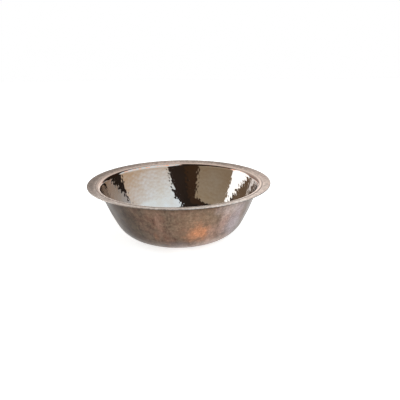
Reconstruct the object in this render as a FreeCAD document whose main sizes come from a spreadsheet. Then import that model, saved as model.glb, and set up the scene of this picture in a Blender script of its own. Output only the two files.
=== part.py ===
import FreeCAD, Part
import math
import os
import Sketcher

# Hammered double-ply bowl with a flat rim that rises slightly outwards.
# Millimetres, +Z up. The origin is the centre of the flat underside, so z = 0 is the table.
# Every piece is round about Z: a half section in the XZ plane, turned through 360 degrees.

DRIVING_SIZES = {
    "rim_diameter": 406,       # over the rim's outer edge
    "bowl_height": 123,        # table to the top of the rim's outer edge
    "rim_width": 22,           # flat of the rim, from the mouth bend to the outer edge
    "rim_slope": 12.5,         # degrees that the rim rises outwards
    "wall_lean": 18,           # degrees off upright, at the top of the wall
    "wall_radius": 460,        # long curve of the wall, outer face
    "knuckle_radius": 66,      # curve from the flat base into the wall, outer face
    "mouth_bend": 8,           # inside radius of the shell's turned-out mouth
    "mouth_straight": 5,       # straight run of the shell's wall below that bend
    "shell_sheet": 1.0,
    "liner_sheet": 0.8,
    "rim_sheet": 1.0,
    "nest_gap": 0.2,           # between the liner's wall and the shell's wall
    "rim_clear": 0.3,          # between the rim's inner edge and the liner's bend
    "flare_width": 7,          # straight run of the shell's lip under the rim
    "lip_width": 3,            # straight run of the liner's lip on top of the rim
    "hem_width": 8,            # rim sheet folded back under itself at the edge
    "solder_reach": 1.6,       # how far a solder fillet runs out along the rim
}

# Places that the pieces share. The seat is where the shell's turned-out lip becomes straight:
# the rim lies on the lip from there outwards, and the layers of the mouth stack on it.
SHARED_PLACES = {
    "seat_r": "=rim_diameter / 2 - rim_width",
    "seat_z": "=bowl_height - rim_sheet * (1 - cos(rim_slope * 1deg) + 1 / cos(rim_slope * 1deg))"
              " - (rim_width - rim_sheet * (1 + sin(rim_slope * 1deg))) * tan(rim_slope * 1deg)",
    "bend_r": "=seat_r + (mouth_bend + shell_sheet) * sin(rim_slope * 1deg)",
    "bend_z": "=seat_z - (mouth_bend + shell_sheet) * cos(rim_slope * 1deg)",
    "wall_r": "=bend_r - (mouth_bend + wall_radius) * cos(wall_lean * 1deg)"
              " - mouth_straight * sin(wall_lean * 1deg)",
    "wall_z": "=bend_z + (mouth_bend + wall_radius) * sin(wall_lean * 1deg)"
              " - mouth_straight * cos(wall_lean * 1deg)",
    # the liner bends over the thickness of the rim, which moves its bend out along the slope
    "bend_shift": "=rim_sheet * tan((wall_lean + rim_slope) * 1deg)"
                  " - nest_gap / cos((wall_lean + rim_slope) * 1deg)",
}

doc = FreeCAD.newDocument("hammered_bowl")
sheet = doc.addObject("Spreadsheet::Sheet", "Sizes")
for row, (alias, value) in enumerate((DRIVING_SIZES | SHARED_PLACES).items(), start=1):
    sheet.set("A%d" % row, alias)
    sheet.set("B%d" % row, str(value))
    sheet.setAlias("B%d" % row, alias)
doc.recompute()

size = {alias: float(sheet.get(alias)) for alias in DRIVING_SIZES | SHARED_PLACES}
lean = math.radians(size["wall_lean"])
slope = math.radians(size["rim_slope"])

# Directions in the half section: out along the rim, square to it, up the wall, square to it.
ALONG_RIM = FreeCAD.Vector(math.cos(slope), math.sin(slope), 0)
OFF_RIM = FreeCAD.Vector(-math.sin(slope), math.cos(slope), 0)
OFF_WALL = FreeCAD.Vector(math.cos(lean), -math.sin(lean), 0)
SEAT = FreeCAD.Vector(size["seat_r"], size["seat_z"], 0)
SHELL_BEND = FreeCAD.Vector(size["bend_r"], size["bend_z"], 0)
WALL_CENTRE = FreeCAD.Vector(size["wall_r"], size["wall_z"], 0)

START, END, CENTRE = 1, 2, 3    # the points of a line or an arc in a sketch
AXIS = -2                       # the sketch's vertical axis, and -1 is its origin


def newBody(label):
    body = doc.addObject("PartDesign::Body", label)
    body.Label = label
    return body


def newSection(body):
    section = body.newObject("Sketcher::SketchObject", body.Label + "_section")
    planes = {feature.Role: feature for feature in body.Origin.OriginFeatures}
    section.AttachmentSupport = [(planes["XZ_Plane"], "")]
    section.MapMode = "FlatFace"
    return section


def turn(body, section):
    solid = body.newObject("PartDesign::Revolution", body.Label + "_turned")
    solid.Profile = section
    solid.ReferenceAxis = (section, ["V_Axis"])
    solid.Angle = 360
    doc.recompute()


def line(section, start, end):
    return section.addGeometry(Part.LineSegment(start, end))


def arc(section, centre, radius, start, end):
    """Anticlockwise from the direction of start to the direction of end, seen from centre."""
    first = math.atan2(start.y - centre.y, start.x - centre.x)
    last = math.atan2(end.y - centre.y, end.x - centre.x)
    circle = Part.Circle(centre, FreeCAD.Vector(0, 0, 1), radius)
    return section.addGeometry(Part.ArcOfCircle(circle, first, last))


def tie(section, kind, *refs):
    section.addConstraint(Sketcher.Constraint(kind, *refs))


def bind(section, kind, refs, expression):
    """A dimension that follows an expression of the sheet's sizes."""
    value = section.evalExpression(expression)
    if hasattr(value, "getValueAs"):
        value = value.getValueAs("rad") if kind == "Angle" else value.Value
    index = section.addConstraint(Sketcher.Constraint(kind, *refs, float(value)))
    section.setExpression("Constraints[%d]" % index, expression)


def pin(section, geometry, point, rExpression, zExpression):
    bind(section, "DistanceX", (-1, 1, geometry, point), rExpression)
    bind(section, "DistanceY", (-1, 1, geometry, point), zExpression)


class SheetFace:
    """One face of a sheet that runs from the axis, round the knuckle, up the wall, out to a lip."""

    def __init__(self, floor, knuckle, wall, bend, bendCentre, lipWidth):
        across = math.sqrt((wall - knuckle) ** 2 - (WALL_CENTRE.y - floor - knuckle) ** 2)
        self.knuckle, self.wall, self.bend = knuckle, wall, bend
        self.knuckleCentre = FreeCAD.Vector(WALL_CENTRE.x + across, floor + knuckle, 0)
        self.bendCentre = bendCentre
        toKnuckle = (self.knuckleCentre - WALL_CENTRE).normalize()
        self.axisPoint = FreeCAD.Vector(0, floor, 0)
        self.floorEnd = FreeCAD.Vector(self.knuckleCentre.x, floor, 0)
        self.knuckleEnd = WALL_CENTRE + toKnuckle * wall
        self.wallEnd = WALL_CENTRE + OFF_WALL * wall
        self.straightEnd = bendCentre - OFF_WALL * bend
        self.bendEnd = bendCentre + OFF_RIM * bend
        self.lipEnd = self.bendEnd + ALONG_RIM * lipWidth

    def draw(self, section):
        self.floorLine = line(section, self.axisPoint, self.floorEnd)
        self.knuckleArc = arc(section, self.knuckleCentre, self.knuckle, self.floorEnd, self.knuckleEnd)
        self.wallArc = arc(section, WALL_CENTRE, self.wall, self.knuckleEnd, self.wallEnd)
        self.straight = line(section, self.wallEnd, self.straightEnd)
        self.bendArc = arc(section, self.bendCentre, self.bend, self.bendEnd, self.straightEnd)
        self.lip = line(section, self.bendEnd, self.lipEnd)
        tie(section, "Tangent", self.floorLine, END, self.knuckleArc, START)
        tie(section, "Tangent", self.knuckleArc, END, self.wallArc, START)
        tie(section, "Tangent", self.wallArc, END, self.straight, START)
        tie(section, "Tangent", self.straight, END, self.bendArc, END)
        tie(section, "Tangent", self.bendArc, START, self.lip, START)


def drawBentSheet(section, under, over, thickness):
    """Closes the two faces into one section, with the upper face offset from the lower."""
    under.draw(section)
    over.draw(section)
    axisLine = line(section, under.axisPoint, over.axisPoint)
    lipEdge = line(section, under.lipEnd, over.lipEnd)
    tie(section, "Horizontal", under.floorLine)
    tie(section, "Horizontal", over.floorLine)
    tie(section, "Coincident", axisLine, START, under.floorLine, START)
    tie(section, "Coincident", axisLine, END, over.floorLine, START)
    tie(section, "PointOnObject", axisLine, END, AXIS)
    tie(section, "Coincident", over.knuckleArc, CENTRE, under.knuckleArc, CENTRE)
    tie(section, "Coincident", over.wallArc, CENTRE, under.wallArc, CENTRE)
    tie(section, "Coincident", over.bendArc, CENTRE, under.bendArc, CENTRE)
    tie(section, "Parallel", over.straight, under.straight)
    tie(section, "Parallel", over.lip, under.lip)
    tie(section, "Coincident", lipEdge, START, under.lip, END)
    tie(section, "Coincident", lipEdge, END, over.lip, END)
    tie(section, "Perpendicular", lipEdge, under.lip)
    bind(section, "DistanceY", (axisLine, START, axisLine, END), thickness)
    bind(section, "Angle", (under.straight,), "90deg - Sizes.wall_lean * 1deg")
    bind(section, "Angle", (under.lip,), "Sizes.rim_slope * 1deg")


def makeOuterShell():
    """Plain outer bowl: flat base, knuckle, leaning wall, and a mouth turned out under the rim."""
    body = newBody("outer_shell")
    section = newSection(body)
    under = SheetFace(0, size["knuckle_radius"], size["wall_radius"], size["mouth_bend"],
                      SHELL_BEND, size["flare_width"])
    over = SheetFace(size["shell_sheet"], under.knuckle - size["shell_sheet"],
                     under.wall - size["shell_sheet"], under.bend + size["shell_sheet"],
                     SHELL_BEND, size["flare_width"])
    drawBentSheet(section, under, over, "Sizes.shell_sheet")
    tie(section, "Coincident", under.floorLine, START, -1, 1)
    bind(section, "Radius", (under.knuckleArc,), "Sizes.knuckle_radius")
    bind(section, "Radius", (under.wallArc,), "Sizes.wall_radius")
    bind(section, "Radius", (under.bendArc,), "Sizes.mouth_bend")
    bind(section, "Distance", (under.lip,), "Sizes.flare_width")
    pin(section, under.bendArc, CENTRE, "Sizes.bend_r", "Sizes.bend_z")
    bind(section, "Distance", (under.straight,), "Sizes.mouth_straight")
    turn(body, section)
    return body


def makeHammeredLiner():
    """Inner bowl: nests in the shell on its flat floor, and its mouth folds out over the rim."""
    body = newBody("hammered_liner")
    section = newSection(body)
    bend = size["mouth_bend"] + size["shell_sheet"]
    bendCentre = SHELL_BEND + OFF_RIM * size["rim_sheet"] + ALONG_RIM * size["bend_shift"]
    under = SheetFace(size["shell_sheet"], size["knuckle_radius"] - size["shell_sheet"],
                      size["wall_radius"] - size["shell_sheet"] - size["nest_gap"], bend,
                      bendCentre, size["lip_width"])
    over = SheetFace(size["shell_sheet"] + size["liner_sheet"], under.knuckle - size["liner_sheet"],
                     under.wall - size["liner_sheet"], bend + size["liner_sheet"],
                     bendCentre, size["lip_width"])
    drawBentSheet(section, under, over, "Sizes.liner_sheet")
    pin(section, under.wallArc, CENTRE, "Sizes.wall_r", "Sizes.wall_z")
    tie(section, "PointOnObject", under.floorLine, START, AXIS)
    bind(section, "DistanceY", (-1, 1, under.floorLine, START), "Sizes.shell_sheet")
    bind(section, "Radius", (under.knuckleArc,), "Sizes.knuckle_radius - Sizes.shell_sheet")
    bind(section, "Radius", (under.wallArc,),
         "Sizes.wall_radius - Sizes.shell_sheet - Sizes.nest_gap")
    bind(section, "Radius", (under.bendArc,), "Sizes.mouth_bend + Sizes.shell_sheet")
    bind(section, "Distance", (under.lip,), "Sizes.lip_width")
    seatPoint = section.addGeometry(Part.Point(SEAT), True)
    pin(section, seatPoint, START, "Sizes.seat_r", "Sizes.seat_z")
    bind(section, "Distance", (seatPoint, START, under.lip), "Sizes.rim_sheet")
    turn(body, section)
    return body


def makeRimFlange():
    """Flat ring on the shell's lip. Its outer edge is folded back under itself as a closed hem."""
    body = newBody("rim_flange")
    section = newSection(body)
    gauge = size["rim_sheet"]
    hemCentre = FreeCAD.Vector(size["rim_diameter"] / 2 - gauge, size["bowl_height"] - gauge, 0)
    lowIn = SEAT + ALONG_RIM * (size["bend_shift"] + size["rim_clear"])
    topIn = lowIn + OFF_RIM * gauge
    topOut = hemCentre + OFF_RIM * gauge
    hemOut = hemCentre - OFF_RIM * gauge
    hemIn = hemOut - ALONG_RIM * size["hem_width"]
    stepIn = hemIn + OFF_RIM * gauge
    innerEdge = line(section, lowIn, topIn)
    topFace = line(section, topIn, topOut)
    fold = arc(section, hemCentre, gauge, hemOut, topOut)
    hemFace = line(section, hemOut, hemIn)
    hemEdge = line(section, hemIn, stepIn)
    underFace = line(section, stepIn, lowIn)
    tie(section, "Coincident", innerEdge, END, topFace, START)
    tie(section, "Tangent", topFace, END, fold, END)
    tie(section, "Tangent", fold, START, hemFace, START)
    tie(section, "Coincident", hemFace, END, hemEdge, START)
    tie(section, "Coincident", hemEdge, END, underFace, START)
    tie(section, "Coincident", underFace, END, innerEdge, START)
    tie(section, "Perpendicular", innerEdge, topFace)
    tie(section, "Perpendicular", hemEdge, hemFace)
    tie(section, "Parallel", hemFace, topFace)
    tie(section, "Parallel", underFace, topFace)
    bind(section, "Angle", (topFace,), "Sizes.rim_slope * 1deg")
    bind(section, "Radius", (fold,), "Sizes.rim_sheet")
    bind(section, "Distance", (hemFace,), "Sizes.hem_width")
    bind(section, "Distance", (hemEdge,), "Sizes.rim_sheet")
    pin(section, fold, CENTRE, "Sizes.rim_diameter / 2 - Sizes.rim_sheet",
        "Sizes.bowl_height - Sizes.rim_sheet")
    bind(section, "DistanceX", (-1, 1, innerEdge, START),
         "Sizes.seat_r + (Sizes.bend_shift + Sizes.rim_clear) * cos(Sizes.rim_slope * 1deg)")
    turn(body, section)
    return body


def makeSolderRing(label, foot, sheetEdge, footR, footZ, edgeHeight):
    """Solder fillet in the corner between the rim and the cut edge of a lip that lies on it.

    foot is the corner itself, and sheetEdge runs from it up the cut edge, square to the rim.
    """
    body = newBody(label)
    section = newSection(body)
    toe = foot + ALONG_RIM * size["solder_reach"]
    edgeLine = line(section, foot, foot + sheetEdge)
    rimLine = line(section, foot, toe)
    faceLine = line(section, foot + sheetEdge, toe)
    tie(section, "Coincident", edgeLine, START, rimLine, START)
    tie(section, "Coincident", edgeLine, END, faceLine, START)
    tie(section, "Coincident", rimLine, END, faceLine, END)
    tie(section, "Perpendicular", edgeLine, rimLine)
    bind(section, "Angle", (rimLine,), "Sizes.rim_slope * 1deg")
    bind(section, "Distance", (rimLine,), "Sizes.solder_reach")
    bind(section, "Distance", (edgeLine,), edgeHeight)
    pin(section, rimLine, START, footR, footZ)
    turn(body, section)
    return body


def makeRimSeam():
    """Under the rim, along the cut edge of the shell's turned-out lip."""
    foot = SEAT + ALONG_RIM * size["flare_width"]
    return makeSolderRing(
        "rim_seam", foot, OFF_RIM * -size["shell_sheet"],
        "Sizes.seat_r + Sizes.flare_width * cos(Sizes.rim_slope * 1deg)",
        "Sizes.seat_z + Sizes.flare_width * sin(Sizes.rim_slope * 1deg)",
        "Sizes.shell_sheet")


def makeLipSeam():
    """On top of the rim, along the cut edge of the liner's lip."""
    reach = size["bend_shift"] + size["lip_width"]
    foot = SEAT + OFF_RIM * size["rim_sheet"] + ALONG_RIM * reach
    out = "(Sizes.bend_shift + Sizes.lip_width)"
    return makeSolderRing(
        "lip_seam", foot, OFF_RIM * size["liner_sheet"],
        "Sizes.seat_r + %s * cos(Sizes.rim_slope * 1deg)"
        " - Sizes.rim_sheet * sin(Sizes.rim_slope * 1deg)" % out,
        "Sizes.seat_z + %s * sin(Sizes.rim_slope * 1deg)"
        " + Sizes.rim_sheet * cos(Sizes.rim_slope * 1deg)" % out,
        "Sizes.liner_sheet")


pieces = [makeOuterShell(), makeHammeredLiner(), makeRimFlange(), makeRimSeam(), makeLipSeam()]
doc.recompute()

for item in doc.Objects:
    if "Invalid" in item.State or "Error" in item.State:
        raise RuntimeError("%s did not compute: %s" % (item.Name, item.State))
    if item.TypeId == "Sketcher::SketchObject" and not item.FullyConstrained:
        raise RuntimeError("%s is not fully constrained" % item.Name)

os.makedirs("parts", exist_ok=True)
for body in pieces:
    shape = body.Shape
    if shape.isNull() or not shape.isValid() or len(shape.Solids) != 1:
        raise RuntimeError("%s is not one valid solid" % body.Label)
    shape.exportStep("parts/%s.step" % body.Label)
    box = shape.optimalBoundingBox()
    print("%-15s %9.1f mm3  r %.2f  z %.2f to %.2f"
          % (body.Label, shape.Volume, box.XMax, box.ZMin, box.ZMax))
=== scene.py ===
import math

import bmesh
import bpy
from mathutils import Matrix, Vector, noise


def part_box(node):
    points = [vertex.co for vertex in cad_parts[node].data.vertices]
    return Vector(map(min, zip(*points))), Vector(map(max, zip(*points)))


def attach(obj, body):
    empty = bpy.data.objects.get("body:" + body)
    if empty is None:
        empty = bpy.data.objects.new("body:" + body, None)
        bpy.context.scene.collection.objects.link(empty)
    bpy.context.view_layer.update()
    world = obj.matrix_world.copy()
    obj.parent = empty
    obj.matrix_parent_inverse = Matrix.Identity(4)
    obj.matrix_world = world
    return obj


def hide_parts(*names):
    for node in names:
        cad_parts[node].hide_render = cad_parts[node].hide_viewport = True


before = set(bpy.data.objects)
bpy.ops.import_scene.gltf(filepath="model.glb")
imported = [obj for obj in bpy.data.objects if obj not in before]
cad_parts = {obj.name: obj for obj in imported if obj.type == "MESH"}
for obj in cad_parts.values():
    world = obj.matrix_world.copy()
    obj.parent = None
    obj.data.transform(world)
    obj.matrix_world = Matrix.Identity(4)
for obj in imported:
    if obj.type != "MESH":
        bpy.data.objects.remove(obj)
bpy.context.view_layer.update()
print("frame loaded:", ", ".join(sorted(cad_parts)))

mm = 0.001


# the section that all the pieces share: x is out from the axis, y is up from the table

bowl = {
    "rimRadius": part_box("rim_flange")[1].x,
    "height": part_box("rim_flange")[1].z,
    "rimWidth": 22 * mm,
    "rimSlope": math.radians(12.5),
    "wallLean": math.radians(18),
    "wallRadius": 460 * mm,
    "knuckleRadius": 66 * mm,
    "mouthBend": 8 * mm,
    "mouthStraight": 5 * mm,
    "shellSheet": 1.0 * mm,
    "linerSheet": 0.8 * mm,
    "rimSheet": 1.0 * mm,
    "nestGap": 0.2 * mm,
    "rimClear": 0.3 * mm,
    "flareWidth": 7 * mm,
    "lipWidth": 3 * mm,
    "hemWidth": 8 * mm,
    "solderReach": 1.6 * mm,
}


def polar(angle):
    return Vector((math.cos(angle), math.sin(angle)))


alongRim = polar(bowl["rimSlope"])
offRim = polar(bowl["rimSlope"] + math.pi / 2)
upWall = polar(math.pi / 2 - bowl["wallLean"])
outOfWall = polar(-bowl["wallLean"])


def findSeat():
    # the top of the shell's flare where it leaves the bend: the rim ring lies on this line
    sheet, slope = bowl["rimSheet"], bowl["rimSlope"]
    hemRise = sheet * (1 - math.cos(slope) + 1 / math.cos(slope))
    run = bowl["rimWidth"] - sheet * (1 + math.sin(slope))
    return Vector((bowl["rimRadius"] - bowl["rimWidth"], bowl["height"] - hemRise - run * math.tan(slope)))


seat = findSeat()
shellBend = seat - offRim * (bowl["mouthBend"] + bowl["shellSheet"])
bendShift = (
    bowl["rimSheet"] * math.tan(bowl["rimSlope"] + bowl["wallLean"])
    - bowl["nestGap"] / math.cos(bowl["rimSlope"] + bowl["wallLean"])
)
linerBend = shellBend + offRim * bowl["rimSheet"] + alongRim * bendShift
wallCentre = (
    shellBend - outOfWall * (bowl["mouthBend"] + bowl["wallRadius"]) - upWall * bowl["mouthStraight"]
)


def linePoints(start, end, step):
    count = max(1, round((end - start).length / step))
    return [start.lerp(end, i / count) for i in range(count)]


def arcPoints(centre, radius, fromAngle, toAngle, step):
    count = max(1, round(abs(toAngle - fromAngle) * radius / step))
    angles = [fromAngle + (toAngle - fromAngle) * i / count for i in range(count)]
    return [centre + polar(angle) * radius for angle in angles]


def bowlFace(floorZ, knuckleRadius, wallRadius, bendCentre, bendRadius, lipLength, step, bendStep):
    # one face of a sheet from the axis out to the end of its lip
    knuckleZ = floorZ + knuckleRadius
    reach = math.sqrt((wallRadius - knuckleRadius) ** 2 - (wallCentre.y - knuckleZ) ** 2)
    knuckle = Vector((wallCentre.x + reach, knuckleZ))
    joinAngle = math.atan2(knuckle.y - wallCentre.y, knuckle.x - wallCentre.x)
    wallEnd = wallCentre + outOfWall * wallRadius
    bendStart = bendCentre - outOfWall * bendRadius
    bendEnd = bendCentre + offRim * bendRadius
    lipEnd = bendEnd + alongRim * lipLength
    points = linePoints(Vector((0, floorZ)), Vector((knuckle.x, floorZ)), step)
    points += arcPoints(knuckle, knuckleRadius, -math.pi / 2, joinAngle, step)
    points += arcPoints(wallCentre, wallRadius, joinAngle, -bowl["wallLean"], step)
    points += linePoints(wallEnd, bendStart, step)
    turnFrom = math.pi - bowl["wallLean"]
    turnTo = math.pi / 2 + bowl["rimSlope"]
    points += arcPoints(bendCentre, bendRadius, turnFrom, turnTo, bendStep)
    points += linePoints(bendEnd, lipEnd, bendStep)
    return points + [lipEnd]


def ringCounts(points, fullCount, fullRadius):
    # a ring has half as many points each time its radius halves
    counts = []
    for point in points:
        halvings = 0 if point.x <= 0 else max(0, math.ceil(math.log2(fullRadius / point.x)))
        counts.append(1 if point.x < 1e-9 else max(3, fullCount >> halvings))
    return counts


def turnMesh(name, points, counts, closed):
    # turns an outline about Z; neighbouring rings have the same count, or one has a multiple of the other
    mesh = bpy.data.meshes.new(name)
    build = bmesh.new()
    rings = []
    for point, count in zip(points, counts):
        angles = [2 * math.pi * i / count for i in range(count)]
        rings.append([
            build.verts.new((point.x * math.cos(a), point.x * math.sin(a), point.y)) for a in angles
        ])
    pairs = list(zip(rings, rings[1:]))
    if closed:
        pairs.append((rings[-1], rings[0]))
    for lower, upper in pairs:
        few, many = (lower, upper) if len(lower) <= len(upper) else (upper, lower)
        flip = few is upper
        share = len(many) // len(few)
        for i, corner in enumerate(few):
            nextCorner = few[(i + 1) % len(few)]
            fan = [many[(i * share + k) % len(many)] for k in range(share + 1)]
            if len(few) == 1:
                fan = many + [many[0]]
            half = len(fan) // 2 if len(few) > 1 and share > 1 else 0
            faces = []
            if share == 1 and len(few) > 1:
                faces.append((corner, nextCorner, fan[1], fan[0]))
            elif len(few) == 1:
                faces += [(corner, b, a) for a, b in zip(fan, fan[1:])]
            else:
                faces += [(corner, b, a) for a, b in zip(fan[:half + 1], fan[1:half + 1])]
                faces.append((corner, nextCorner, fan[half]))
                faces += [(nextCorner, b, a) for a, b in zip(fan[half:], fan[half + 1:])]
            for face in faces:
                build.faces.new(face[::-1] if flip else face)
    if build.calc_volume(signed=True) < 0:
        bmesh.ops.reverse_faces(build, faces=build.faces[:])
    for face in build.faces:
        face.smooth = True
    build.to_mesh(mesh)
    build.free()
    piece = bpy.data.objects.new(name, mesh)
    bpy.context.scene.collection.objects.link(piece)
    return piece


# small helpers for node trees
def place(tree, kind, **settings):
    node = tree.nodes.new(kind)
    for key, value in settings.items():
        setattr(node, key, value)
    return node


def feed(tree, socket, source):
    if isinstance(source, bpy.types.NodeSocket):
        tree.links.new(source, socket)
    else:
        socket.default_value = source


def maths(tree, operation, *sources, clamp=False):
    node = place(tree, "ShaderNodeMath", operation=operation, use_clamp=clamp)
    for socket, source in zip(node.inputs, sources):
        feed(tree, socket, source)
    return node.outputs[0]


def vectorMaths(tree, operation, *sources):
    node = place(tree, "ShaderNodeVectorMath", operation=operation)
    for socket, source in zip(node.inputs, sources):
        feed(tree, socket, source)
    return node.outputs["Value"] if operation in ("LENGTH", "DOT_PRODUCT") else node.outputs["Vector"]


def scaled(tree, source, amount):
    node = place(tree, "ShaderNodeVectorMath", operation="SCALE")
    feed(tree, node.inputs[0], source)
    feed(tree, node.inputs["Scale"], amount)
    return node.outputs["Vector"]


def blendColour(tree, factor, first, second, mode="MIX"):
    node = place(tree, "ShaderNodeMix", data_type="RGBA", blend_type=mode)
    feed(tree, node.inputs["Factor"], factor)
    feed(tree, node.inputs[6], first)
    feed(tree, node.inputs[7], second)
    return node.outputs[2]


def spread(tree, source, fromLow, fromHigh, toLow=0.0, toHigh=1.0, smooth=False):
    node = place(tree, "ShaderNodeMapRange", interpolation_type="SMOOTHSTEP" if smooth else "LINEAR")
    for key, value in zip(("Value", "From Min", "From Max", "To Min", "To Max"),
                          (source, fromLow, fromHigh, toLow, toHigh)):
        feed(tree, node.inputs[key], value)
    return node.outputs["Result"]


def noiseValue(tree, vector, scale, detail=3.0, roughness=0.5):
    node = place(tree, "ShaderNodeTexNoise", noise_dimensions="3D")
    for key, value in (("Vector", vector), ("Scale", scale), ("Detail", detail), ("Roughness", roughness)):
        feed(tree, node.inputs[key], value)
    return node.outputs["Fac"]


def paint(red, green, blue):
    # a display colour from 0 to 255 as the linear colour that the nodes take
    linear = []
    for part in (red, green, blue):
        share = part / 255
        linear.append(share / 12.92 if share <= 0.04045 else ((share + 0.055) / 1.055) ** 2.4)
    return (*linear, 1.0)


def newGroup(name, inputs, outputs):
    group = bpy.data.node_groups.new(name, "ShaderNodeTree")
    for label, kind, value in inputs:
        socket = group.interface.new_socket(name=label, in_out="INPUT", socket_type=kind)
        if value is not None:
            socket.default_value = value
    for label, kind in outputs:
        group.interface.new_socket(name=label, in_out="OUTPUT", socket_type=kind)
    return group, group.nodes.new("NodeGroupInput").outputs, group.nodes.new("NodeGroupOutput").inputs


def useGroup(tree, group, **values):
    node = place(tree, "ShaderNodeGroup", node_tree=group)
    for key, value in values.items():
        label = "".join(" " + c if c.isupper() else c for c in key)
        feed(tree, node.inputs[label[0].upper() + label[1:]], value)
    return node.outputs


number = "NodeSocketFloat"
vector3 = "NodeSocketVector"


# effects that the metals share
def makeTurnedCoords():
    # goes round the axis without a seam: direction times Around, height times Up
    group, given, result = newGroup(
        "turnedCoords",
        [("Around", number, 10.0), ("Up", number, 10.0), ("Outward", number, 0.0)],
        [("Vector", vector3), ("Radius", number), ("Height", number)],
    )
    position = group.nodes.new("ShaderNodeTexCoord").outputs["Object"]
    split = place(group, "ShaderNodeSeparateXYZ")
    feed(group, split.inputs[0], position)
    flat = vectorMaths(group, "MULTIPLY", position, (1.0, 1.0, 0.0))
    radius = vectorMaths(group, "LENGTH", flat)
    turned = scaled(group, vectorMaths(group, "NORMALIZE", flat), given["Around"])
    lift = place(group, "ShaderNodeCombineXYZ")
    feed(group, lift.inputs["Z"], maths(
        group, "ADD", maths(group, "MULTIPLY", split.outputs["Z"], given["Up"]),
        maths(group, "MULTIPLY", radius, given["Outward"]),
    ))
    feed(group, result["Vector"], vectorMaths(group, "ADD", turned, lift.outputs[0]))
    feed(group, result["Radius"], radius)
    feed(group, result["Height"], split.outputs["Z"])
    return group


turnedCoords = makeTurnedCoords()


def makePatinaClouds():
    # streaks that run down the wall, soft clouds and fine specks, each from 0 to 1
    group, given, result = newGroup(
        "patinaClouds",
        [("Streaks", number, 24.0), ("Streak Stretch", number, 18.0), ("Cloud Scale", number, 18.0),
         ("Speck Scale", number, 700.0)],
        [("Streaks", number), ("Clouds", number), ("Specks", number)],
    )
    turned = useGroup(group, turnedCoords, around=given["Streaks"], up=given["Streak Stretch"])
    position = group.nodes.new("ShaderNodeTexCoord").outputs["Object"]
    streaks = noiseValue(group, turned["Vector"], 1.0, 5.0, 0.6)
    clouds = noiseValue(group, position, given["Cloud Scale"], 5.0, 0.6)
    specks = noiseValue(group, position, given["Speck Scale"], 2.0, 0.6)
    feed(group, result["Streaks"], spread(group, streaks, 0.34, 0.66))
    feed(group, result["Clouds"], spread(group, clouds, 0.34, 0.66))
    feed(group, result["Specks"], spread(group, specks, 0.35, 0.65))
    return group


patinaClouds = makePatinaClouds()


def makeRubbedBand():
    # a band worn by hands or the table, about one radius or height, with broken edges
    group, given, result = newGroup(
        "rubbedBand",
        [("Along", number, 0.0), ("Centre", number, 0.0), ("Width", number, 0.003),
         ("Break Up", number, 0.6), ("Patches", number, 30.0)],
        [("Mask", number)],
    )
    turned = useGroup(group, turnedCoords, around=given["Patches"], up=60.0)
    patches = noiseValue(group, turned["Vector"], 1.0, 4.0, 0.65)
    away = maths(group, "DIVIDE", maths(group, "ABSOLUTE", maths(
        group, "SUBTRACT", given["Along"], given["Centre"])), given["Width"])
    broken = maths(group, "MULTIPLY", spread(group, patches, 0.35, 0.65), given["Break Up"])
    feed(group, result["Mask"], spread(group, maths(group, "ADD", away, broken), 1.0, 0.3, smooth=True))
    return group


rubbedBand = makeRubbedBand()


def makePolishLines():
    # the fine lines that a buff or an abrasive pad leaves round the piece
    group, given, result = newGroup(
        "polishLines",
        [("Round Lines", number, 3.0), ("Fineness", number, 900.0), ("Smudge Scale", number, 25.0)],
        [("Lines", number), ("Smudges", number)],
    )
    turned = useGroup(group, turnedCoords, around=given["Round Lines"], up=given["Fineness"],
                      outward=given["Fineness"])
    position = group.nodes.new("ShaderNodeTexCoord").outputs["Object"]
    feed(group, result["Lines"], noiseValue(group, turned["Vector"], 1.0, 2.0, 0.6))
    feed(group, result["Smudges"], spread(group, noiseValue(
        group, position, given["Smudge Scale"], 4.0, 0.6), 0.3, 0.7))
    return group


polishLines = makePolishLines()


def makeSidePatch():
    # a soft patch on the side of the bowl at one bearing and height
    group, given, result = newGroup(
        "sidePatch",
        [("Bearing", number, 0.0), ("Half Angle", number, 0.2), ("Height", number, 0.04),
         ("Half Height", number, 0.02), ("Ragged", number, 0.5), ("Grain", number, 40.0)],
        [("Mask", number)],
    )
    position = group.nodes.new("ShaderNodeTexCoord").outputs["Object"]
    split = place(group, "ShaderNodeSeparateXYZ")
    feed(group, split.inputs[0], position)
    bearing = maths(group, "ARCTAN2", split.outputs["X"], maths(group, "MULTIPLY", split.outputs["Y"], -1.0))
    aside = maths(group, "SUBTRACT", bearing, given["Bearing"])
    sideways = maths(group, "DIVIDE", aside, given["Half Angle"])
    upward = maths(group, "DIVIDE", maths(
        group, "SUBTRACT", split.outputs["Z"], given["Height"]), given["Half Height"])
    sidewaysSquared = maths(group, "MULTIPLY", sideways, sideways)
    upwardSquared = maths(group, "MULTIPLY", upward, upward)
    away = maths(group, "SQRT", maths(group, "ADD", sidewaysSquared, upwardSquared))
    edge = maths(group, "MULTIPLY", maths(
        group, "SUBTRACT", noiseValue(group, position, given["Grain"], 5.0, 0.65), 0.5), given["Ragged"])
    feed(group, result["Mask"], spread(group, maths(group, "ADD", away, edge), 1.0, 0.2, smooth=True))
    return group


sidePatch = makeSidePatch()


def newMetal(name):
    material = bpy.data.materials.new(name)
    material.use_nodes = True
    tree = material.node_tree
    shader = tree.nodes["Principled BSDF"]
    return material, tree, shader


def addBump(tree, shader, height, distance):
    bump = place(tree, "ShaderNodeBump")
    bump.inputs["Distance"].default_value = distance
    bump.inputs["Strength"].default_value = 1.0
    feed(tree, bump.inputs["Height"], height)
    feed(tree, shader.inputs["Normal"], bump.outputs["Normal"])


print("shared effects ready")


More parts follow.
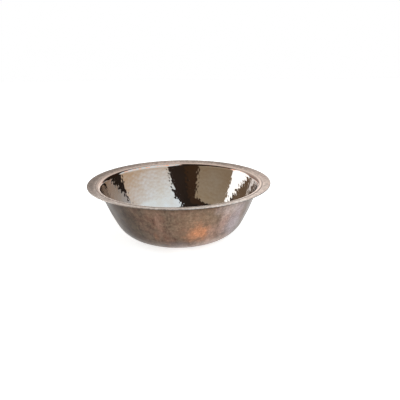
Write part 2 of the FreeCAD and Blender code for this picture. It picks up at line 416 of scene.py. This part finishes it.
# the outer shell: a smooth spun bowl with a brown patina
shell = {
    "step": 2.0 * mm,
    "bendStep": 0.5 * mm,
    "around": 384,
    "fullRadius": 90 * mm,
    "darkBrown": paint(54, 42, 35),
    "midBrown": paint(121, 103, 89),
    "redBrown": paint(132, 95, 78),
    "olive": paint(112, 98, 76),
    "roughness": (0.30, 0.44),
    "lacquer": 0.08,
    "lacquerRoughness": 0.28,
    "grainDepth": 0.02 * mm,
    "redShare": 0.55,
    "oliveShare": 0.22,
    "columns": (0.80, 1.20),
    "turningLines": (0.90, 1.10),
    "fineMottle": (0.66, 1.34),
    "shadeUnderRim": 0.6,
    "shadeDepth": (19 * mm, 9 * mm),
}

# side patches, partly real wear and tarnish and partly painted light: the paler ones are in part painted
# highlights, sheen and reflections of the room, the darker ones in part painted shade. Columns: bearing and
# half angle in degrees (0 at the front, + to the right), height and half height in millimetres, how ragged
# and how fine the edge is, colour, strength
wearAndPaintedLightPatches = (
    (-54, 42, 62, 110, 0.8, 20.0, paint(40, 26, 18), 0.88),
    (12, 24, 72, 62, 0.9, 30.0, paint(148, 118, 94), 0.50),
    (13, 14, 54, 32, 1.6, 60.0, paint(192, 132, 98), 0.64),
    (14, 8, 55, 18, 2.0, 90.0, paint(206, 136, 94), 0.50),
    (33, 7, 68, 48, 1.2, 60.0, paint(182, 148, 136), 0.60),
    (24, 7, 46, 40, 1.2, 50.0, paint(172, 138, 122), 0.55),
    (44, 12, 62, 62, 1.0, 30.0, paint(178, 162, 166), 0.62),
    (68, 13, 70, 70, 0.8, 20.0, paint(136, 121, 117), 0.60),
    (-15, 4, 78, 38, 1.4, 60.0, paint(146, 112, 97), 0.40),
    (-19, 3, 44, 16, 1.4, 60.0, paint(136, 96, 74), 0.50),
    (-38, 9, 56, 36, 1.2, 30.0, paint(66, 50, 36), 0.60),
    (-4, 18, 24, 14, 1.2, 30.0, paint(104, 92, 88), 0.60),
    (28, 30, 20, 20, 1.2, 40.0, paint(204, 176, 162), 0.45),
    (36, 16, 98, 26, 1.0, 40.0, paint(206, 188, 182), 0.45),
    (2, 16, 10, 12, 1.2, 40.0, paint(206, 196, 194), 0.45),
)


def makeShellMetal():
    material, tree, shader = newMetal("patinatedCopper")
    clouds = useGroup(tree, patinaClouds, streaks=22.0, streakStretch=42.0, cloudScale=30.0)
    blotches = useGroup(tree, patinaClouds, streaks=34.0, streakStretch=170.0, cloudScale=90.0)
    depth = maths(tree, "MULTIPLY", maths(tree, "ADD", clouds["Streaks"], blotches["Clouds"]), 0.5)
    brown = blendColour(tree, depth, shell["darkBrown"], shell["midBrown"])
    red = maths(tree, "MULTIPLY", clouds["Clouds"], shell["redShare"])
    colour = blendColour(tree, red, brown, shell["redBrown"])
    # each patch blends in a colour that is partly real wear and tarnish and partly painted highlight, sheen
    # and shade
    for bearing, halfAngle, height, halfHeight, ragged, grain, tone, strength in wearAndPaintedLightPatches:
        patch = useGroup(tree, sidePatch, bearing=math.radians(bearing), halfAngle=math.radians(halfAngle),
                         height=height * mm, halfHeight=halfHeight * mm, ragged=ragged, grain=grain)
        colour = blendColour(tree, maths(tree, "MULTIPLY", patch["Mask"], strength), colour, tone)
    colour = scaled(tree, colour, spread(tree, blotches["Streaks"], 0.0, 1.0, *shell["columns"]))
    olive = maths(tree, "MULTIPLY", blotches["Clouds"], shell["oliveShare"])
    colour = blendColour(tree, olive, colour, shell["olive"])
    turning = useGroup(tree, polishLines, roundLines=2.0, fineness=320.0)
    colour = scaled(tree, colour, spread(tree, turning["Lines"], 0.3, 0.7, *shell["turningLines"]))
    fine = useGroup(tree, patinaClouds, streaks=90.0, streakStretch=400.0, cloudScale=200.0)
    fineSum = maths(tree, "ADD", fine["Streaks"], fine["Clouds"])
    mottle = spread(tree, fineSum, 0.0, 2.0, *shell["fineMottle"])
    colour = scaled(tree, colour, mottle)
    turned = useGroup(tree, turnedCoords)
    shadeLow, shadeHigh = (bowl["height"] - down for down in shell["shadeDepth"])
    underRim = spread(tree, turned["Height"], shadeLow, shadeHigh, smooth=True)
    underRim = maths(tree, "MULTIPLY", underRim, shell["shadeUnderRim"])
    colour = blendColour(tree, underRim, colour, shell["darkBrown"])
    feed(tree, shader.inputs["Base Color"], colour)
    lowRough, highRough = shell["roughness"]
    feed(tree, shader.inputs["Roughness"], spread(tree, clouds["Clouds"], 0.0, 1.0, lowRough, highRough))
    shader.inputs["Metallic"].default_value = 1.0
    shader.inputs["Coat Weight"].default_value = shell["lacquer"]
    shader.inputs["Coat Roughness"].default_value = shell["lacquerRoughness"]
    lines = useGroup(tree, polishLines, fineness=1600.0)
    addBump(tree, shader, maths(tree, "ADD", lines["Lines"], clouds["Specks"]), shell["grainDepth"])
    return material


def makeShell():
    outside = bowlFace(0.0, bowl["knuckleRadius"], bowl["wallRadius"], shellBend, bowl["mouthBend"],
                       bowl["flareWidth"], shell["step"], shell["bendStep"])
    sheet = bowl["shellSheet"]
    inside = bowlFace(sheet, bowl["knuckleRadius"] - sheet, bowl["wallRadius"] - sheet, shellBend,
                      bowl["mouthBend"] + sheet, bowl["flareWidth"], 6 * shell["step"],
                      2 * shell["bendStep"])
    points = outside + inside[::-1]
    counts = ringCounts(points, shell["around"], shell["fullRadius"])
    piece = turnMesh("shell_outside", points, counts, False)
    piece.data.materials.append(makeShellMetal())
    return piece


shellPiece = makeShell()
print("outer shell:", len(shellPiece.data.polygons), "faces")


# the liner: hammered all over inside, then plated and polished
liner = {
    "step": 1.5 * mm,
    "bendStep": 0.6 * mm,
    "backStep": 12 * mm,
    "backBendStep": 2 * mm,
    "around": 768,
    "fullRadius": 100 * mm,
    "markSpacing": 7.4 * mm,
    "markRadius": 6.6 * mm,
    "markDepth": 0.19 * mm,
    "markSeed": 11,
    "blowStrength": (0.55, 1.25),
    "mostMarks": 60000.0,
    "fadeBelowBend": 4 * mm,
    "silver": paint(188, 179, 176),
    "warmSilver": paint(178, 159, 143),
    # copper colour for a band high on the mouth bend
    "copperShowing": paint(222, 132, 88),
    "copperBand": (0.62, 0.20),
    "copperStrength": 0.75,
    "lipStarts": (0.80, 0.94),
    # the lip's paler colour is partly its satin finish and partly a painted highlight on the rounded lip
    "satinLip": paint(230, 217, 209),
    "lipRoughness": 0.28,
    "roughness": (0.04, 0.09),
    "polishDepth": 0.004 * mm,
}


def makeHammerTree():
    # sinks a shallow round dimple at each of many scattered points; neighbours meet in a soft ridge
    tree = bpy.data.node_groups.new("hammerMarks", "GeometryNodeTree")
    sockets = (
        ("Geometry", "NodeSocketGeometry"),
        ("Mark Spacing", number),
        ("Mark Radius", number),
        ("Mark Depth", number),
        ("Seed", "NodeSocketInt"),
        ("Metal", "NodeSocketMaterial"),
    )
    for label, kind in sockets:
        tree.interface.new_socket(name=label, in_out="INPUT", socket_type=kind)
    tree.interface.new_socket(name="Geometry", in_out="OUTPUT", socket_type="NodeSocketGeometry")
    given = tree.nodes.new("NodeGroupInput").outputs
    hammered = place(tree, "GeometryNodeInputNamedAttribute", data_type="FLOAT")
    hammered.inputs["Name"].default_value = "hammered"
    reach = hammered.outputs["Attribute"]
    scatter = place(tree, "GeometryNodeDistributePointsOnFaces", distribute_method="POISSON")
    feed(tree, scatter.inputs["Mesh"], given["Geometry"])
    feed(tree, scatter.inputs["Distance Min"], given["Mark Spacing"])
    feed(tree, scatter.inputs["Density Max"], liner["mostMarks"])
    feed(tree, scatter.inputs["Density Factor"], reach)
    feed(tree, scatter.inputs["Seed"], given["Seed"])
    blow = place(tree, "FunctionNodeRandomValue", data_type="FLOAT")
    blow.inputs[2].default_value, blow.inputs[3].default_value = liner["blowStrength"]
    feed(tree, blow.inputs["Seed"], given["Seed"])
    near = place(tree, "GeometryNodeProximity", target_element="POINTS")
    feed(tree, near.inputs[0], scatter.outputs["Points"])
    which = place(tree, "GeometryNodeSampleNearest", domain="POINT")
    feed(tree, which.inputs["Geometry"], scatter.outputs["Points"])
    weight = place(tree, "GeometryNodeSampleIndex", data_type="FLOAT", domain="POINT")
    feed(tree, weight.inputs["Geometry"], scatter.outputs["Points"])
    feed(tree, weight.inputs["Value"], blow.outputs[1])
    feed(tree, weight.inputs["Index"], which.outputs["Index"])
    share = maths(tree, "DIVIDE", near.outputs["Distance"], given["Mark Radius"])
    dish = maths(tree, "SUBTRACT", 1.0, maths(tree, "MULTIPLY", share, share), clamp=True)
    depth = maths(tree, "MULTIPLY", given["Mark Depth"], weight.outputs["Value"])
    inwards = maths(tree, "MULTIPLY", reach, -1.0)
    sink = maths(tree, "MULTIPLY", maths(tree, "MULTIPLY", dish, depth), inwards)
    move = place(tree, "GeometryNodeSetPosition")
    feed(tree, move.inputs["Geometry"], given["Geometry"])
    normal = tree.nodes.new("GeometryNodeInputNormal").outputs["Normal"]
    feed(tree, move.inputs["Offset"], scaled(tree, normal, sink))
    smooth = place(tree, "GeometryNodeSetShadeSmooth")
    feed(tree, smooth.inputs["Geometry"], move.outputs["Geometry"])
    real = place(tree, "GeometryNodeRealizeInstances")
    feed(tree, real.inputs["Geometry"], smooth.outputs["Geometry"])
    metal = place(tree, "GeometryNodeSetMaterial")
    feed(tree, metal.inputs["Geometry"], real.outputs["Geometry"])
    feed(tree, metal.inputs["Material"], given["Metal"])
    out = tree.nodes.new("NodeGroupOutput")
    feed(tree, out.inputs["Geometry"], metal.outputs["Geometry"])
    return tree


def applyTree(piece, tree, **values):
    # runs a geometry tree on the piece and keeps its result as a plain mesh
    modifier = piece.modifiers.new(tree.name, "NODES")
    modifier.node_group = tree
    for item in tree.interface.items_tree:
        key = item.name.replace(" ", "")
        key = key[0].lower() + key[1:]
        if item.in_out == "INPUT" and key in values:
            modifier[item.identifier] = values[key]
    bpy.context.view_layer.update()
    shown = piece.evaluated_get(bpy.context.evaluated_depsgraph_get())
    mesh = bpy.data.meshes.new_from_object(shown)
    piece.modifiers.remove(modifier)
    piece.data = mesh


def makeLinerMetal():
    material, tree, shader = newMetal("brightPlating")
    lines = useGroup(tree, polishLines, fineness=2200.0, smudgeScale=15.0)
    colour = blendColour(tree, lines["Smudges"], liner["silver"], liner["warmSilver"])
    turned = useGroup(tree, turnedCoords)
    bend = bowl["mouthBend"] + bowl["shellSheet"] + bowl["linerSheet"]
    bandAt, bandHalf = liner["copperBand"]
    # a copper-coloured band with broken edges, high on the mouth bend all the way round
    corner = useGroup(tree, rubbedBand, along=turned["Height"], centre=linerBend.y + bandAt * bend,
                      width=bandHalf * bend, breakUp=1.1, patches=14.0)
    colour = blendColour(tree, maths(tree, "MULTIPLY", corner["Mask"], liner["copperStrength"]), colour,
                         liner["copperShowing"])
    # the rounded lip gets a rougher finish and a paler colour; the paler colour is partly a painted
    # highlight on the lip
    lipLow, lipHigh = (linerBend.y + share * bend for share in liner["lipStarts"])
    lip = spread(tree, turned["Height"], lipLow, lipHigh, smooth=True)
    colour = blendColour(tree, lip, colour, liner["satinLip"])
    feed(tree, shader.inputs["Base Color"], colour)
    lowRough, highRough = liner["roughness"]
    polished = spread(tree, lines["Smudges"], 0.0, 1.0, lowRough, highRough)
    feed(tree, shader.inputs["Roughness"], spread(tree, lip, 0.0, 1.0, polished, liner["lipRoughness"]))
    shader.inputs["Metallic"].default_value = 1.0
    addBump(tree, shader, lines["Lines"], liner["polishDepth"])
    return material


def makeLiner():
    # the sheet lies against the shell's inside, so its back has the shell's inner floor and knuckle
    sheet = bowl["linerSheet"]
    floorZ = bowl["shellSheet"]
    backRadius = bowl["wallRadius"] - bowl["shellSheet"] - bowl["nestGap"]
    knuckleRadius = bowl["knuckleRadius"] - bowl["shellSheet"]
    bendRadius = bowl["mouthBend"] + bowl["shellSheet"]
    inside = bowlFace(floorZ + sheet, knuckleRadius - sheet, backRadius - sheet, linerBend,
                      bendRadius + sheet, bowl["lipWidth"], liner["step"], liner["bendStep"])
    back = bowlFace(floorZ, knuckleRadius, backRadius, linerBend, bendRadius, bowl["lipWidth"],
                    liner["backStep"], liner["backBendStep"])
    points = inside + back[::-1]
    insideCounts = ringCounts(inside, liner["around"], liner["fullRadius"])
    backCounts = ringCounts(back, liner["around"] // 4, liner["fullRadius"])
    piece = turnMesh("liner_hammered", points, insideCounts + backCounts[::-1], False)
    mesh = piece.data
    hammered = mesh.attributes.new("hammered", "FLOAT", "POINT")
    bendStartZ = linerBend.y + (bendRadius + sheet) * math.sin(bowl["wallLean"])
    insideCount = sum(insideCounts)
    for i, vertex in enumerate(mesh.vertices):
        below = (bendStartZ - vertex.co.z) / liner["fadeBelowBend"]
        hammered.data[i].value = max(0.0, min(1.0, below)) if i < insideCount else 0.0
    metal = makeLinerMetal()
    applyTree(piece, makeHammerTree(), markSpacing=liner["markSpacing"], markRadius=liner["markRadius"],
              markDepth=liner["markDepth"], seed=liner["markSeed"], metal=metal)
    return piece


linerPiece = makeLiner()
print("liner:", len(linerPiece.data.polygons), "faces")


# the rim: a flat ring with its outer edge folded under
rim = {
    "step": 1.2 * mm,
    "foldStep": 0.3 * mm,
    "around": 512,
    "greyBrown": paint(186, 179, 173),
    "paleCopper": paint(220, 207, 199),
    "darkHollows": paint(126, 112, 104),
    "mottle": (0.60, 1.26),
    # painted shade: the nearly black colour for the underside of the folded edge
    "underneath": paint(48, 37, 31),
    "rubbedInner": paint(232, 222, 216),
    "edgeCopper": paint(196, 158, 138),
    "edgeWidth": 1.0 * mm,
    "rubbedBand": (193 * mm, 187 * mm),
    "rubbedWander": 3 * mm,
    "rubbedStrength": 0.75,
    "hollowStrength": 0.30,
    "edgeStrength": 0.40,
    "undersideStrength": 0.95,
    "roughness": (0.26, 0.40),
    "grainDepth": 0.03 * mm,
}

# broad paler and darker stretches of the ring, partly its own tone and partly painted highlight and painted
# shade of
# the light falling round it: bearing and half angle in degrees, colour, strength
rimToneAndPaintedLightStretches = (
    (0, 74, paint(250, 240, 233), 0.48),
    (-108, 76, paint(112, 104, 98), 0.50),
    (142, 42, paint(112, 104, 98), 0.36),
)


def makeRimMetal():
    material, tree, shader = newMetal("satinCopper")
    clouds = useGroup(tree, patinaClouds, streaks=22.0, streakStretch=30.0, cloudScale=34.0)
    colour = blendColour(tree, clouds["Clouds"], rim["greyBrown"], rim["paleCopper"])
    turned = useGroup(tree, turnedCoords)
    # each stretch is partly the ring's own tone and partly painted highlight and painted shade
    for bearing, halfAngle, tone, strength in rimToneAndPaintedLightStretches:
        stretch = useGroup(tree, sidePatch, bearing=math.radians(bearing), halfAngle=math.radians(halfAngle),
                           height=bowl["height"], halfHeight=1.0, ragged=0.6, grain=30.0)
        colour = blendColour(tree, maths(tree, "MULTIPLY", stretch["Mask"], strength), colour, tone)
    wander = spread(tree, clouds["Streaks"], 0.0, 1.0, -rim["rubbedWander"], rim["rubbedWander"])
    rubbedFrom, rubbedTo = rim["rubbedBand"]
    inner = spread(tree, maths(tree, "ADD", turned["Radius"], wander), rubbedFrom, rubbedTo, smooth=True)
    inner = maths(tree, "MULTIPLY", inner, rim["rubbedStrength"])
    colour = blendColour(tree, inner, colour, rim["rubbedInner"])
    hollows = maths(tree, "MULTIPLY", clouds["Specks"], rim["hollowStrength"])
    colour = blendColour(tree, hollows, colour, rim["darkHollows"])
    fine = useGroup(tree, patinaClouds, cloudScale=170.0)
    darkest, lightest = rim["mottle"]
    colour = scaled(tree, colour, spread(tree, fine["Clouds"], 0.0, 1.0, darkest, lightest))
    edge = useGroup(tree, rubbedBand, along=turned["Radius"], centre=bowl["rimRadius"],
                    width=rim["edgeWidth"], breakUp=1.2, patches=40.0)
    edgeMask = maths(tree, "MULTIPLY", edge["Mask"], rim["edgeStrength"])
    colour = blendColour(tree, edgeMask, colour, rim["edgeCopper"])
    # painted shade: below the fold's middle plane, the lower half of the fold and the hem under the ring are
    # painted nearly black for the shadow under the rim's edge
    foldZ = bowl["height"] - bowl["rimSheet"]
    foldR = bowl["rimRadius"] - bowl["rimSheet"]
    offPlane = maths(tree, "SUBTRACT", maths(
        tree, "MULTIPLY", maths(tree, "SUBTRACT", turned["Height"], foldZ), alongRim.x), maths(
        tree, "MULTIPLY", maths(tree, "SUBTRACT", turned["Radius"], foldR), alongRim.y))
    below = spread(tree, offPlane, 0.0, -0.5 * mm, smooth=True)
    below = maths(tree, "MULTIPLY", below, rim["undersideStrength"])
    colour = blendColour(tree, below, colour, rim["underneath"])
    feed(tree, shader.inputs["Base Color"], colour)
    lowRough, highRough = rim["roughness"]
    feed(tree, shader.inputs["Roughness"], spread(tree, clouds["Clouds"], 0.0, 1.0, lowRough, highRough))
    shader.inputs["Metallic"].default_value = 1.0
    lines = useGroup(tree, polishLines, fineness=1400.0)
    addBump(tree, shader, maths(tree, "ADD", lines["Lines"], clouds["Specks"]), rim["grainDepth"])
    return material


def makeRim():
    sheet = bowl["rimSheet"]
    innerEnd = seat + alongRim * (bendShift + bowl["rimClear"])
    foldRadius = sheet
    foldR = bowl["rimRadius"] - foldRadius
    fold = seat + alongRim * ((foldR - seat.x) / alongRim.x)
    hemEnd = fold - alongRim * (bowl["hemWidth"] - foldRadius)
    step = rim["step"]
    top = bowl["rimSlope"] + math.pi / 2
    points = linePoints(innerEnd, innerEnd + offRim * sheet, sheet)
    points += linePoints(innerEnd + offRim * sheet, fold + offRim * sheet, step)
    points += arcPoints(fold, foldRadius, top, top - math.pi, rim["foldStep"])
    points += linePoints(fold - offRim * sheet, hemEnd - offRim * sheet, step)
    points += linePoints(hemEnd - offRim * sheet, hemEnd, sheet)
    points += linePoints(hemEnd, innerEnd, 3 * step)
    piece = turnMesh("rim_ring", points, [rim["around"]] * len(points), True)
    piece.data.materials.append(makeRimMetal())
    return piece


rimPiece = makeRim()
print("rim:", len(rimPiece.data.polygons), "faces")


# the two solder seams: thin beads, uneven along their length
solder = {
    "around": 720,
    "tin": paint(178, 172, 166),
    "flux": paint(150, 128, 114),
    "fluxShare": 0.7,
    "roughness": (0.30, 0.50),
    "grainDepth": 0.03 * mm,
    "hollow": 0.15 * mm,
    "unevenness": 0.25,
    "lumps": 35,
}


def makeSolderMetal():
    material, tree, shader = newMetal("softSolder")
    clouds = useGroup(tree, patinaClouds, streaks=60.0, streakStretch=200.0, cloudScale=60.0)
    fluxStains = maths(tree, "MULTIPLY", clouds["Streaks"], solder["fluxShare"])
    colour = blendColour(tree, fluxStains, solder["tin"], solder["flux"])
    feed(tree, shader.inputs["Base Color"], colour)
    lowRough, highRough = solder["roughness"]
    feed(tree, shader.inputs["Roughness"], spread(tree, clouds["Clouds"], 0.0, 1.0, lowRough, highRough))
    shader.inputs["Metallic"].default_value = 1.0
    addBump(tree, shader, clouds["Specks"], solder["grainDepth"])
    return material


def makeSeam(name, foot, rise, metal):
    # a fillet between a sheet's cut edge and the rim, slightly hollow, whose reach comes and goes
    reach = bowl["solderReach"]
    top = foot + rise
    toe = foot + alongRim * reach
    hollow = (top + toe) / 2 - (top + toe - foot * 2).normalized() * solder["hollow"]
    points = [foot, top, top.lerp(hollow, 0.6), hollow.lerp(toe, 0.4), toe]
    piece = turnMesh(name, points, [solder["around"]] * len(points), True)
    for vertex in piece.data.vertices:
        flat = Vector((vertex.co.x, vertex.co.y, 0))
        out = flat.length - foot.x
        lumpAt = flat.normalized() * solder["lumps"] + Vector((0, 0, foot.y * 100))
        wobble = 1 + solder["unevenness"] * noise.noise(lumpAt)
        flat = flat.normalized() * (foot.x + out * min(1.0, wobble))
        vertex.co.x, vertex.co.y = flat.x, flat.y
    piece.data.materials.append(metal)
    return piece


solderMetal = makeSolderMetal()
rimFoot = seat + alongRim * bowl["flareWidth"]
rimSeam = makeSeam("seam_under_rim", rimFoot, -offRim * bowl["shellSheet"], solderMetal)
lipFoot = seat + offRim * bowl["rimSheet"] + alongRim * (bendShift + bowl["lipWidth"])
lipSeam = makeSeam("seam_on_rim", lipFoot, offRim * bowl["linerSheet"], solderMetal)
print("seams ready")


# which piece stands for which part
standsFor = (
    (shellPiece, "outer_shell", "patinated_copper"),
    (linerPiece, "hammered_liner", "bright_plating"),
    (rimPiece, "rim_flange", "satin_copper"),
    (rimSeam, "rim_seam", "solder"),
    (lipSeam, "lip_seam", "solder"),
)
for piece, node, slotName in standsFor:
    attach(piece, "root")
    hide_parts(node)


# floor, studio and camera
studio = {
    "floorHalf": 12.0,
    "floorColour": paint(240, 240, 240),
    "floorGlow": 0.77,
    "floorDim": paint(236, 236, 236),
    "floorGrain": 40.0,
    "black": paint(53, 46, 41),
    "topSoftness": 3,
    "colourTurns": (12, 36),
}


def makeFloor():
    half = studio["floorHalf"]
    mesh = bpy.data.meshes.new("floor")
    corners = [(-half, -half, 0), (half, -half, 0), (half, half, 0), (-half, half, 0)]
    mesh.from_pydata(corners, [], [(0, 1, 2, 3)])
    floor = bpy.data.objects.new("floor", mesh)
    bpy.context.scene.collection.objects.link(floor)
    material, tree, shader = newMetal("paleFloor")
    position = tree.nodes.new("ShaderNodeTexCoord").outputs["Object"]
    grain = noiseValue(tree, position, studio["floorGrain"])
    pale = blendColour(tree, grain, studio["floorColour"], studio["floorDim"])
    feed(tree, shader.inputs["Base Color"], pale)
    shader.inputs["Roughness"].default_value = 0.9
    shader.inputs["Specular IOR Level"].default_value = 0.1
    shader.inputs["Emission Color"].default_value = (1, 1, 1, 1)
    shader.inputs["Emission Strength"].default_value = studio["floorGlow"]
    mesh.materials.append(material)


# what the bright metal mirrors. Each card has its two sides as (bearing in degrees, 0 towards the viewer
# and + to the right, lean in degrees for each degree of elevation, elevation above which it leans), the
# elevations it runs from and to, the softness of its edges, its colour low and high on it, its brightness
cards = (
    # dim wall, brown and then grey
    ((-34, -1.6, 36), (-8, -0.6, 21), -10, 64, 4.0, paint(82, 64, 46), paint(74, 58, 46), 1.0),
    ((-10, 0, 0), (26, -0.5, 21), -10, 64, 4.0, paint(62, 54, 48), paint(60, 52, 47), 1.0),
    # bright warm wall on the right, taupe wall on the left
    ((19.7, -0.55, 21), (101.5, 0.6, 8), -10, 100, 1.0, paint(176, 161, 140), paint(212, 232, 243), 2.0),
    ((-95, -0.3, 10), (-33, -2.0, 36), -10, 49, 1.5, paint(131, 118, 98), paint(152, 146, 130), 1.75),
    # window on the left
    ((-136, 0, 0), (-95, -0.3, 10), -10, 42, 1.5, paint(238, 250, 255), paint(238, 250, 255), 2.8),
    # the room behind the bowl, right and left
    ((158, 0, 0), (181, 0, 0), -10, 90, 4.0, paint(232, 220, 212), paint(190, 180, 174), 1.5),
    ((-181, 0, 0), (-136, 0, 0), -10, 90, 4.0, paint(140, 130, 124), paint(184, 174, 166), 1.5),
    # the far table top, right and left
    ((140, 0, 0), (181, 0, 0), -10, 5, 4.0, paint(240, 236, 232), paint(240, 236, 232), 2.3),
    ((-181, 0, 0), (-140, 0, 0), -10, 5, 4.0, paint(240, 236, 232), paint(240, 236, 232), 2.3),
)


def makeStudio():
    world = bpy.data.worlds.new("studio")
    bpy.context.scene.world = world
    world.use_nodes = True
    tree = world.node_tree
    tree.nodes.clear()
    direction = tree.nodes.new("ShaderNodeTexCoord").outputs["Generated"]
    split = place(tree, "ShaderNodeSeparateXYZ")
    feed(tree, split.inputs[0], direction)
    degrees = math.degrees(1)
    away = maths(tree, "MULTIPLY", split.outputs["Y"], -1.0)
    bearing = maths(tree, "MULTIPLY", maths(tree, "ARCTAN2", split.outputs["X"], away), degrees)
    elevation = maths(tree, "MULTIPLY", maths(tree, "ARCSINE", split.outputs["Z"]), degrees)
    colour = studio["black"]
    topSoft = studio["topSoftness"]
    for fromSide, toSide, fromUp, toUp, soft, low, high, bright in cards:
        sides = []
        for (side, lean, above), sign in ((fromSide, 1), (toSide, -1)):
            raised = maths(tree, "MAXIMUM", maths(tree, "SUBTRACT", elevation, above), 0.0)
            level = maths(tree, "SUBTRACT", bearing, maths(tree, "MULTIPLY", raised, lean))
            sides.append(spread(tree, level, side - sign * soft, side + sign * soft, smooth=True))
        left, right = sides
        under = spread(tree, elevation, fromUp - soft, fromUp + soft, smooth=True)
        over = spread(tree, elevation, toUp + topSoft, toUp - topSoft, smooth=True)
        across = maths(tree, "MULTIPLY", left, right)
        mask = maths(tree, "MULTIPLY", across, maths(tree, "MULTIPLY", under, over))
        shade = blendColour(tree, spread(tree, elevation, *studio["colourTurns"]), low, high)
        shade = blendColour(tree, 1.0, shade, (bright, bright, bright, 1.0), "MULTIPLY")
        colour = blendColour(tree, mask, colour, shade)
    studioLight = place(tree, "ShaderNodeBackground")
    feed(tree, studioLight.inputs["Color"], colour)
    backdrop = place(tree, "ShaderNodeBackground")
    backdrop.inputs["Color"].default_value = (1, 1, 1, 1)
    seen = tree.nodes.new("ShaderNodeLightPath").outputs["Is Camera Ray"]
    pick = place(tree, "ShaderNodeMixShader")
    feed(tree, pick.inputs[0], seen)
    feed(tree, pick.inputs[1], studioLight.outputs[0])
    feed(tree, pick.inputs[2], backdrop.outputs[0])
    out = place(tree, "ShaderNodeOutputWorld")
    feed(tree, out.inputs["Surface"], pick.outputs[0])


view = {
    "distance": 0.8750,
    "height": 0.3595,
    "pitch": math.radians(18.11),
    "yaw": math.radians(3.01),
    "roll": math.radians(0.45),
    "lens": 36.0,
    "sensor": 36.0,
}


def makeCamera():
    camera = bpy.data.objects.new("camera", bpy.data.cameras.new("camera"))
    bpy.context.scene.collection.objects.link(camera)
    camera.data.lens = view["lens"]
    camera.data.sensor_width = view["sensor"]
    turn = (
        Matrix.Rotation(-view["yaw"], 4, "Z")
        @ Matrix.Rotation(math.pi / 2 - view["pitch"], 4, "X")
        @ Matrix.Rotation(-view["roll"], 4, "Z")
    )
    camera.matrix_world = Matrix.Translation((0, -view["distance"], view["height"])) @ turn
    bpy.context.scene.camera = camera


makeFloor()
makeStudio()
makeCamera()
bpy.context.scene.view_settings.view_transform = "Standard"
print("floor, studio and camera ready")
